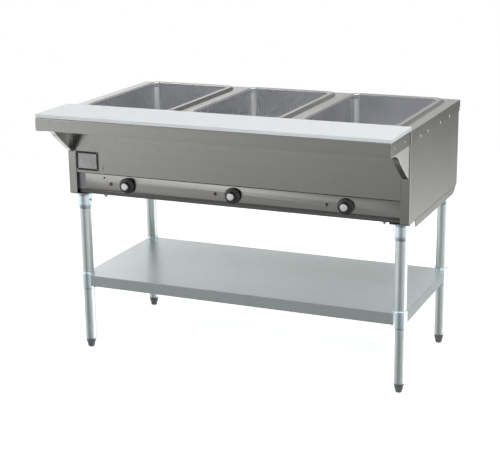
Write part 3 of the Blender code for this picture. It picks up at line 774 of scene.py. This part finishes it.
# ---- wells
def make_liners():
    for number, centre in WELLS:
        node = f"well_liner_{number}"
        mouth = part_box(node)[1].z
        wide = WELL_W + 0.006
        deep = WELL_D + 0.006
        bm = bmesh.new()
        levels = [(0.018, 0.029, mouth), (0.0, 0.022, mouth)]
        levels += [(-0.002, 0.022, mouth - 0.060), (-0.008, 0.022, WELL_FLOOR_Z + 0.014)]
        for step in range(1, 7):
            angle = math.radians(90 * step / 6)
            inset = 0.008 + 0.022 * (1 - math.cos(angle))
            z = WELL_FLOOR_Z + 0.014 * (1 - math.sin(angle))
            levels.append((-inset, 0.022 - 0.010 * step / 6, z))
        before = None
        for grow, radius, z in levels:
            ring = ring_of(bm, rounded_rectangle(centre, wide + grow, deep + grow, radius, z, 10))
            if before:
                join_rings(bm, before, ring)
            before = ring
        floor = bm.faces.new(before)
        face_up(bm, floor, (0, 0, 1))
        # Rounded vertical corners take the paler copies, the fully turned part the palest and the faces
        # beside it a fade: a painted highlight.
        for face in bm.faces:
            bend = min(abs(face.normal.x), abs(face.normal.y))
            if abs(face.normal.z) < 0.20 and bend > 0.28:
                face.material_index = 2 if bend > 0.52 else 1
        liner = piece(node + "_drawn", bm, "liner", slot="aluminised", stands_for=[node])
        liner.data.materials.append(M["liner_painted_highlight_fade"])
        liner.data.materials.append(M["liner_corner_painted_highlight"])
        as_sheet(liner, 0.0010, 0.0, 50)
        for side in (-1, 1):
            place = (centre.x + side * ELEMENT_RUNS[3], ELEMENT_FRONT_Y, WELL_FLOOR_Z)
            hole = cylinder_bm(0.0051, 0.02, place)
            cut_with(liner, hole, f"cut_terminal_{number}_{'lr'[side > 0]}")


ELEMENT_R = 0.0043
ELEMENT_RUNS = (-0.105, -0.035, 0.035, 0.105)
ELEMENT_Z = WELL_FLOOR_Z + 0.028
ELEMENT_FRONT_Y = WELL_Y - WELL_D / 2 + 0.045
ELEMENT_BACK_Y = WELL_Y + WELL_D / 2 - 0.075
ELEMENT_BEND = 0.014
ELEMENT_END_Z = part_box("heating_element_1")[0].z


def element_path(x):
    turn = (ELEMENT_RUNS[1] - ELEMENT_RUNS[0]) / 2
    middle_y = ELEMENT_FRONT_Y + ELEMENT_BEND + turn

    def standing(run_x):
        return lambda y, z: (run_x, y, z)

    def level(px, py):
        return (px, py, ELEMENT_Z)

    path = [(x + ELEMENT_RUNS[0], ELEMENT_FRONT_Y, ELEMENT_END_Z)]
    corner = (ELEMENT_FRONT_Y + ELEMENT_BEND, ELEMENT_Z - ELEMENT_BEND)
    path += arc(corner, ELEMENT_BEND, 180, 90, 8, standing(x + ELEMENT_RUNS[0]))
    path += arc((x - 2 * turn, ELEMENT_BACK_Y), turn, 180, 0, 24, level)
    path += arc((x, middle_y), turn, 180, 360, 24, level)
    path += arc((x + 2 * turn, ELEMENT_BACK_Y), turn, 180, 0, 24, level)
    path += arc(corner, ELEMENT_BEND, 90, 180, 8, standing(x + ELEMENT_RUNS[3]))
    path.append((x + ELEMENT_RUNS[3], ELEMENT_FRONT_Y, ELEMENT_END_Z))
    return path


def make_elements():
    nut = [(ELEMENT_R + 0.0001, 0.010), (0.0085, 0.010), (0.0085, 0.004), (0.0115, 0.003)]
    nut += [(0.0115, 0.0004), (ELEMENT_R + 0.0001, 0.0004)]
    for number, centre in WELLS:
        node = f"heating_element_{number}"
        swept(node + "_rod", element_path(centre.x), ELEMENT_R, "heater", slot="heater", stands_for=[node])
        name = f"element_support_{number}"
        low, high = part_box(name)
        drop = (0, 0, low.z - high.z)
        top = flat_outline(low, high, high.z)
        pan(name + "_bridge", top, drop, "liner", skip=(0, 2), slot="aluminised", stands_for=[name])
        for run, run_x in enumerate(ELEMENT_RUNS, 1):
            make_clip(f"element_clip_{number}_{run}", centre.x + run_x, (low.y + high.y) / 2)
        for side, end_x in (("left", ELEMENT_RUNS[0]), ("right", ELEMENT_RUNS[3])):
            at = (centre.x + end_x, ELEMENT_FRONT_Y, WELL_FLOOR_Z)
            lathe(
                f"element_nut_{number}_{side}", round_over(nut, 0.0006), "plain", at, steps=36,
                slot="zinc_plated",
            )


def make_clip(name, x, y):
    """A narrow strap bent over one run of the element."""
    bm = bmesh.new()
    width = 0.009
    radius = ELEMENT_R + 0.0002
    base = ELEMENT_Z - ELEMENT_R - 0.0002
    line = [(-0.0105, base + 0.0012), (-radius - 0.0010, base + 0.0012)]
    line += arc((0, ELEMENT_Z), radius + 0.0010, 180, 0, 12, lambda px, pz: (px, pz))
    line += [(radius + 0.0010, base + 0.0012), (0.0105, base + 0.0012)]
    near = [bm.verts.new((x + px, y - width / 2, pz)) for px, pz in line]
    far = [bm.verts.new((x + px, y + width / 2, pz)) for px, pz in line]
    faces = join_rings(bm, near, far, closed=False)
    face_up(bm, faces[len(faces) // 2], (0, 0, 1))
    clip = piece(name, bm, "liner", slot="aluminised")
    as_sheet(clip, 0.0008, 0.0)


# ---- controls
def fluted(obj, place, depths, inner, share):
    """Narrows the outer part of a turned piece by an angle's share, between two distances from the panel."""
    for vert in obj.data.vertices:
        offset = Vector((vert.co.x - place[0], 0, vert.co.z - place[2]))
        if depths[0] < PANEL_Y - vert.co.y < depths[1] and offset.length > inner:
            keep = share(math.atan2(offset.z, offset.x))
            vert.co.x = place[0] + offset.x * keep
            vert.co.z = place[2] + offset.z * keep


def make_knob(number):
    """A thick black skirt with a ring of marks, a fluted hub and a raised pale cap."""
    node = f"control_knob_{number}"
    low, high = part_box(node)
    radius = (high.x - low.x) / 2
    reach = PANEL_Y - low.y
    place = on_panel(node)
    body = f"knob_{number}"
    skirt = [(0.0, reach - 0.0022), (0.0146, reach - 0.0022), (0.0152, 0.0140), (0.0185, 0.0128)]
    skirt += [(radius - 0.0020, 0.0114), (radius, 0.0094), (radius, 0.0036), (0.0090, 0.0036)]
    skirt += [(0.0090, 0.0060), (0.0, 0.0060)]
    knob = lathe(
        node + "_grip", round_over(skirt, 0.0008), "knob", place, TO_COOK, 72,
        body=body, slot="knob_black", stands_for=[node],
    )
    hub = (0.0132, reach - 0.0018)
    fluted(knob, place, hub, 0.0125, lambda angle: 1 - 0.05 * max(0.0, math.cos(angle * 12)) ** 2)
    cap = [(0.0, reach), (0.0096, reach - 0.0001), (0.0114, reach - 0.0006), (0.0121, reach - 0.0016)]
    cap += [(0.0122, reach - 0.0024), (0.0, reach - 0.0024)]
    cap = round_over(cap, 0.0005)
    lathe(f"knob_cap_{number}", cap, "cap", place, TO_COOK, 72, body=body, slot="zinc_plated")
    marks = bmesh.new()
    for step in range(11):
        angle = math.radians(90 - step * 30 - (15 if step == 10 else 0))
        add_mark(marks, place, angle, 0.0222, 0.0034 if step % 2 == 0 else 0.0022)
    piece(f"knob_marks_{number}", marks, "mark", body=body, slot="knob_black")


def add_mark(bm, place, angle, radius, length):
    """A short raised bar on the skirt, pointing at the knob's middle."""
    slope = math.radians(12)
    centre = Vector(place) + Vector((math.cos(angle) * radius, -0.0120, math.sin(angle) * radius))
    turn = Matrix.Rotation(-angle, 4, "Y") @ Matrix.Rotation(-slope, 4, "Z")
    size = Matrix.Diagonal((length, 0.0005, 0.0009, 1))
    bmesh.ops.create_cube(bm, size=1.0, matrix=Matrix.Translation(centre) @ turn @ size)


def make_pilot(number):
    node = f"pilot_light_{number}"
    place = on_panel(node)
    bezel = [(0.0072, 0.0003), (0.0072, 0.0008), (0.0068, 0.0021), (0.0058, 0.0026)]
    bezel += [(0.0052, 0.0020), (0.0052, 0.0004)]
    bezel = round_over(bezel, 0.0003)
    lathe(f"pilot_bezel_{number}", bezel, "plain", place, TO_COOK, 48, slot="zinc_plated")
    dome = [(0.0, 0.0072), (0.0018, 0.0070), (0.0034, 0.0062), (0.0045, 0.0048), (0.0050, 0.0030)]
    dome += [(0.0050, -0.0200), (0.0, -0.0200)]
    lens = lathe(node + "_lens", dome, "lens", place, TO_COOK, 48, slot="pilot_red", stands_for=[node])
    fluted(lens, place, (0.0035, 1.0), 0.001, lambda angle: 1 - 0.06 * abs(math.cos(angle * 4)))


def make_controls():
    for number in (1, 2, 3):
        make_knob(number)
        make_pilot(number)


def bar(bm, low, high):
    """Adds a box between two corners."""
    low, high = Vector(low), Vector(high)
    matrix = Matrix.Translation((low + high) / 2) @ Matrix.Diagonal((*(high - low), 1))
    bmesh.ops.create_cube(bm, size=1.0, matrix=matrix)


def make_plate():
    """A blank plate: a pale sheet inside a narrow dark border, held by four rivets."""
    low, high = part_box("rating_plate")
    face = low.y + 0.0004
    edge = 0.007
    bm = bmesh.new()
    bar(bm, (low.x, face, low.z), (high.x, high.y, high.z))
    sheet = piece("plate_backing", bm, "plate_pale", slot="plate_grey", stands_for=["rating_plate"])
    soften(sheet, 0.0003)
    shade(sheet)
    bm = bmesh.new()
    bar(bm, (low.x, low.y, high.z - edge), (high.x, face, high.z))
    bar(bm, (low.x, low.y, low.z), (high.x, face, low.z + edge))
    bar(bm, (low.x, low.y, low.z + edge), (low.x + edge, face, high.z - edge))
    bar(bm, (high.x - edge, low.y, low.z + edge), (high.x, face, high.z - edge))
    piece("plate_border", bm, "plate_dark", slot="plate_grey")
    rivet = [(0.0, 0.0012), (0.0008, 0.0011), (0.0014, 0.0007), (0.0017, 0.0), (0.0, 0.0)]
    for name, x in (("left", low.x + edge / 2), ("right", high.x - edge / 2)):
        for level, z in (("low", low.z + edge / 2), ("high", high.z - edge / 2)):
            place = (x, low.y, z)
            lathe(f"plate_rivet_{name}_{level}", rivet, "fastener", place, TO_COOK, 20, slot="zinc_plated")


# ---- shelf, board and brackets
def make_shelf():
    drop = (0, 0, SHELF_LOW.z - SHELF_HIGH.z)
    top = flat_outline(SHELF_LOW, SHELF_HIGH, SHELF_HIGH.z)
    facts = {"slot": "stainless", "stands_for": ["front_shelf"]}
    pan("front_shelf_folded", top, drop, "shelf", DECK_SHEET, skip=(2,), **facts)


def make_board():
    bm = bmesh.new()
    bar(bm, BOARD_LOW, BOARD_HIGH)
    half_thick = (BOARD_HIGH.z - BOARD_LOW.z) / 2
    upright_edges = [e for e in bm.edges if abs(e.verts[0].co.z - e.verts[1].co.z) > half_thick]
    bmesh.ops.bevel(bm, geom=upright_edges, offset=0.004, segments=5, profile=0.5, affect="EDGES")
    board = piece(
        "cutting_board_slab", bm, "board", body="board", slot="board_white", stands_for=["cutting_board"]
    )
    soften(board, 0.0018, 4, 40)
    shade(board)


def make_brackets():
    for side_name, side in (("left", -1), ("right", 1)):
        node = "shelf_bracket_" + side_name
        low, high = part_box(node)
        x = high.x if side > 0 else low.x
        tip = low.y
        heel = tip + 0.028
        tip_z = DECK_Z - 0.046
        sweep = 0.090

        def standing(y, z, x=x):
            return (x, y, z)

        outline = [standing(tip, high.z), standing(tip, tip_z + 0.003), standing(heel, tip_z)]
        outline += arc((heel, tip_z - sweep), sweep, 80, 38, 12, standing)
        outline += [standing(high.y - 0.030, DECK_Z - 0.130), standing(high.y, low.z)]
        outline += [standing(high.y, high.z)]
        inward = (-side * (high.x - low.x), 0, 0)
        pan(node + "_folded", outline, inward, "bracket", slot="stainless", stands_for=[node])
        turn = TO_RIGHT if side > 0 else TO_LEFT
        for number, y in enumerate((tip + 0.030, high.y - 0.060), 1):
            place = (side * SHELF_HIGH.x, y, DECK_Z - 0.020)
            screw_head(f"bracket_screw_{side_name}_{number}", place, turn, 0.0038, 0.0020)


# ---- stand
def make_rails():
    for side_name, side in (("left", -1), ("right", 1)):
        node = "base_rail_" + side_name
        low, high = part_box(node)
        outer = high.x if side > 0 else low.x
        inner = low.x if side > 0 else high.x
        start, stop, top, bottom = low.y, high.y, high.z, low.z
        bm = bmesh.new()
        points = [(inner, start), (inner, stop), (outer, stop), (outer, start + 0.066), (outer, start)]
        verts = ring_of(bm, [(x, y, top) for x, y in points])
        face = bm.faces.new(verts)
        below = [bm.verts.new((outer, stop - 0.036, bottom)), bm.verts.new((outer, start + 0.078, bottom))]
        bm.faces.new((verts[2], verts[3], below[1], below[0]))
        face_up(bm, face, (0, 0, 1))
        rail = piece(node + "_angle", bm, "side", slot="stainless", stands_for=[node])
        as_sheet(rail, 0.0025)


def make_socket(name, place):
    """A pressed cup with a round flange, a turned-in mouth and a set screw."""
    top = SOCKET_TOP_Z
    bore = LEG_R + FINE
    profile = [(0.0, top), (0.0300, top), (0.0300, top - 0.0028), (0.0262, top - 0.0034)]
    profile += [(0.0248, top - 0.0052), (SOCKET_R, top - 0.0100), (SOCKET_R, top - 0.0420)]
    profile += [(0.0240, top - 0.0480), (0.0229, top - 0.0550), (0.0222, top - 0.0560)]
    profile += [(bore, top - 0.0556), (bore, top - 0.0060), (0.0, top - 0.0060)]
    node = "leg_socket_" + name
    cup = round_over(profile, 0.0009)
    lathe(node + "_cup", cup, "zinc", (place.x, place.y, 0), slot="zinc_plated", stands_for=[node])
    inward = -1 if place.x > 0 else 1
    set_screw(f"socket_screw_{name}", (place.x + inward * SOCKET_R, place.y, top - 0.026))


def make_leg(name, place):
    top, bottom = LEG_TOP_Z, LEG_FOOT_Z
    bore = LEG_R - 0.0015
    insert = 0.0085
    profile = [(LEG_R - 0.0003, top), (LEG_R, top - 0.0004), (LEG_R, bottom + 0.0035)]
    profile += [(LEG_R - 0.0010, bottom + 0.0010), (LEG_R - 0.0028, bottom), (insert, bottom)]
    profile += [(insert, bottom + 0.024), (bore, bottom + 0.024), (bore, top)]
    node = "leg_" + name
    tube = round_over(profile, 0.0005)
    lathe(node + "_tube", tube, "tube", (place.x, place.y, 0), slot="galvanised_tube", stands_for=[node])


def make_foot(name, place):
    """A tapered bullet foot with a hexagon for the wrench, on a threaded stem."""
    top = LEG_FOOT_Z - FINE
    bm = bmesh.new()
    at = Matrix.Translation((place.x, place.y, 0))
    flats = hexagon(0.027)
    levels = [(0.0080, top), (0.0180, top), (0.0185, top - 0.0006), (0.0185, top - 0.0030)]
    levels += [(0.0160, top - 0.0048), (flats, top - 0.0056), (flats, top - 0.0130)]
    levels += [(0.0140, top - 0.0150), (0.0118, 0.0046), (0.0106, 0.0014), (0.0092, 0.0)]
    rings = [circle(bm, at, radius, z, 48) for radius, z in levels]
    stack(bm, rings)
    bm.faces.new(rings[-1])
    thread = [rings[0]]
    for turn in range(26):
        z = top + FINE + turn * THREAD_PITCH * 0.9
        for radius, level in ((0.0072, z), (0.0080, z + THREAD_PITCH * 0.4)):
            if level <= STEM_TOP_Z:
                thread.append(circle(bm, at, radius, level, 48))
    thread.append(circle(bm, at, 0.0070, STEM_TOP_Z, 48))
    stack(bm, thread)
    bm.faces.new(thread[-1])
    bmesh.ops.recalc_face_normals(bm, faces=bm.faces)
    node = "foot_" + name
    foot = piece(node + "_bullet", bm, "foot", body="foot_body_" + name, slot="foot_grey", stands_for=[node])
    shade(foot, 32)


def make_collar(name, place):
    """A bright collar clamped on the leg, with its set screw on the inner side."""
    low, high = COLLAR_LOW.z, COLLAR_HIGH.z
    r = COLLAR_R
    bore = LEG_R + FINE
    profile = [(bore, high - 0.0004), (r - 0.0010, high), (r - 0.0002, high - 0.0016), (r, high - 0.0040)]
    profile += [(r, low + 0.0035), (r - 0.0002, low + 0.0015), (r - 0.0010, low), (bore, low + 0.0004)]
    node = "shelf_collar_" + name
    lathe(
        node + "_ring", round_over(profile, 0.0005), "zinc", (place.x, place.y, 0),
        body="shelf", slot="zinc_plated", stands_for=[node],
    )
    inward = -1 if place.x > 0 else 1
    set_screw(f"collar_screw_{name}", (place.x + inward * r, place.y, low + 0.006), "shelf")


def make_tray():
    """The undershelf: a flat tray with folded, hemmed edges, cut round the collars."""
    low, high = TRAY_LOW, TRAY_HIGH
    drop = (0, 0, low.z - high.z)
    tray = pan(
        "undershelf_tray", flat_outline(low, high, high.z), drop, "tray", hem=0.012,
        body="shelf", slot="galvanised_sheet", stands_for=["undershelf"],
    )
    tray.data.materials.append(M["tray_painted_shade"])
    # Flat faces take the lighter copy and the upright folded edges the darker one: painted light on the top,
    # painted shade on the edges.
    for face in tray.data.polygons:
        face.material_index = 0 if abs(face.normal.z) > 0.5 else 1
    for name, place in LEGS.items():
        at = (place.x, place.y, (low.z + high.z) / 2)
        cut_with(tray, cylinder_bm(COLLAR_R + FINE, 0.1, at, steps=48), "cut_collar_" + name)
    settle(tray)


def make_base_fasteners():
    """Nuts under the body's front edge, and bolts through each base rail."""
    for number, x in enumerate(BASE_NUT_XS, 1):
        hex_head(f"base_nut_{number}", (x, PANEL_Y + 0.022, BODY_Z), 0.011, 0.005, 0.0075, stud=0.003)
    for side_name, side in (("left", -1), ("right", 1)):
        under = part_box("base_rail_" + side_name)[1].z - 0.0025
        for number, y in enumerate(RAIL_BOLT_YS, 1):
            hex_head(f"rail_bolt_{side_name}_{number}", (side * 0.572, y, under), 0.010, 0.004, 0.0068)


def make_stand():
    make_rails()
    for name, place in LEGS.items():
        make_socket(name, place)
        make_leg(name, place)
        make_foot(name, place)
        make_collar(name, place)
    make_tray()
    make_base_fasteners()


# ---- nodes shown as they are
def dress(node, material):
    """Gives a CAD node its finish."""
    obj = NODES[node]
    obj.data.materials.clear()
    obj.data.materials.append(M[material])


def dress_hidden_nodes():
    for number in (1, 2, 3):
        dress(f"well_insulation_{number}", "fibre")
        dress(f"heat_switch_{number}", "cream")
        dress(f"switch_shaft_{number}", "plain")
    dress("terminal_block", "cream")
    dress("wire_harness", "cable")
    dress("supply_gland", "cable")


# ---- stage
FLOOR_RADIUS = 3.4
FLOOR_GLOW = 0.70

# Brightness of the studio by height (-1 below to 1 above), in front of the object and behind it
FRONT_WALL = (
    (-1.0, 0.20), (-0.44, 0.22), (-0.28, 0.42), (-0.22, 1.0), (-0.12, 1.12),
    (0.10, 0.95), (0.24, 0.55), (1.0, 0.60),
)
REAR_WALL = (
    (-1.0, 0.60), (-0.45, 1.90), (-0.28, 2.30), (-0.19, 0.70), (0.00, 0.55),
    (0.20, 1.35), (0.29, 1.35), (0.38, 0.55), (0.60, 0.75), (1.0, 1.3),
)
# Brightness from the left (-1) to the right (1)
ACROSS = (
    (-1.0, 1.45), (-0.56, 1.60), (-0.49, 1.12), (-0.40, 0.82), (-0.28, 0.66),
    (0.15, 0.40), (0.34, 0.44), (0.50, 1.00), (1.0, 1.30),
)
BRIGHTEST = 2.5
LIGHT_TARGET = (0, 0, 0.6)


def make_floor():
    """A pale floor that the camera sees. The metal takes its reflections from the studio's walls."""
    bm = bmesh.new()
    bmesh.ops.create_circle(bm, cap_ends=True, radius=FLOOR_RADIUS, segments=96)
    mesh = bpy.data.meshes.new("floor")
    bm.to_mesh(mesh)
    bm.free()
    floor = link("floor", mesh)
    floor.visible_glossy = False
    n = Nodes("pale_floor")
    cloud = n.noise(2.0, 3.0, 0.5)
    n.set(Base_Color=n.mix(cloud, (0.91, 0.91, 0.91), (0.93, 0.93, 0.93)), Roughness=0.6)
    n.set(Specular_IOR_Level=0.2, Emission_Color=(1, 1, 1, 1), Emission_Strength=FLOOR_GLOW)
    mesh.materials.append(n.material)


def make_world():
    """Soft studio walls, brighter at the left and dim at the rear right, before a plain white backdrop."""
    world = bpy.data.worlds.new("studio")
    bpy.context.scene.world = world
    world.use_nodes = True
    world.cycles_visibility.diffuse = False
    world.node_tree.nodes.clear()
    n = Tree(world.node_tree)
    split = n.add("SeparateXYZ", {0: n.add("TexCoord").outputs["Generated"]})

    def graded(axis, levels):
        """Brightness along one axis, as a share of the brightest level."""
        half = n.add("MapRange", {"Value": split.outputs[axis], "From Min": -1})
        curve = n.add("FloatCurve", {"Value": half.outputs[0]})
        line = curve.mapping.curves[0]
        points = [((where + 1) / 2, value / BRIGHTEST) for where, value in levels]
        line.points[0].location = points[0]
        line.points[1].location = points[-1]
        for point in points[1:-1]:
            line.points.new(*point)
        for point in line.points:
            point.handle_type = "VECTOR"
        curve.mapping.update()
        return curve.outputs[0]

    reach = {"Value": split.outputs["Y"], "From Min": -0.4, "From Max": 0.5}
    depth = n.add("MapRange", reach, interpolation_type="SMOOTHSTEP")
    walls = n.add("Mix", {0: depth.outputs[0], 2: graded("Z", FRONT_WALL), 3: graded("Z", REAR_WALL)})
    level = n.math("MULTIPLY", walls.outputs[0], graded("X", ACROSS))
    level = n.math("MULTIPLY", level, BRIGHTEST * BRIGHTEST)
    white = (1, 1, 1, 1)
    around = n.add("Background", {"Color": white, "Strength": level})
    backdrop = n.add("Background", {"Color": white})
    seen = n.add("LightPath").outputs["Is Camera Ray"]
    choose = n.add("MixShader", {0: seen, 1: around.outputs[0], 2: backdrop.outputs[0]})
    n.add("OutputWorld", {0: choose.outputs[0]})


def soft_light(name, place, size, power):
    """An area light that faces the middle of the object."""
    data = bpy.data.lights.new(name, "AREA")
    data.shape = "RECTANGLE"
    data.size, data.size_y = size
    data.energy = power
    light = link(name, data)
    light.location = place
    direction = Vector(LIGHT_TARGET) - light.location
    light.rotation_euler = direction.to_track_quat("-Z", "Y").to_euler()


def make_lights():
    soft_light("overhead", (1.3, 0.2, 3.3), (3.4, 3.4), 74)
    soft_light("key_left", (-3.1, -2.6, 2.9), (1.8, 2.2), 32)
    soft_light("front_soft", (1.8, -3.4, 4.0), (3.0, 1.4), 64)
    sun = bpy.data.lights.new("even_floor", "SUN")
    sun.energy = 0.5
    sun.angle = math.radians(50)
    link("even_floor", sun).rotation_euler = (math.radians(12), math.radians(-10), 0)


def make_camera():
    """A long lens at the cook's right, a little over the deck."""
    data = bpy.data.cameras.new("camera")
    data.lens = 92.9
    data.sensor_width = 36
    data.clip_end = 60
    camera = link("camera", data)
    yaw, pitch, roll = math.radians(23.406), math.radians(15.530), math.radians(-0.729)
    camera.location = (1.6847, -3.9288, 1.6551)
    aimed = Matrix.Rotation(yaw, 3, "Z") @ Matrix.Rotation(math.radians(90) - pitch, 3, "X")
    camera.rotation_euler = (aimed @ Matrix.Rotation(roll, 3, "Z")).to_euler()
    bpy.context.scene.camera = camera


def main():
    make_deck()
    make_deck_fasteners()
    make_side_panels()
    make_front()
    make_rear()
    make_liners()
    make_elements()
    make_controls()
    make_plate()
    make_shelf()
    make_board()
    make_brackets()
    make_stand()
    dress_hidden_nodes()
    make_floor()
    make_world()
    make_lights()
    make_camera()
    bpy.context.scene.view_settings.view_transform = "Standard"


main()
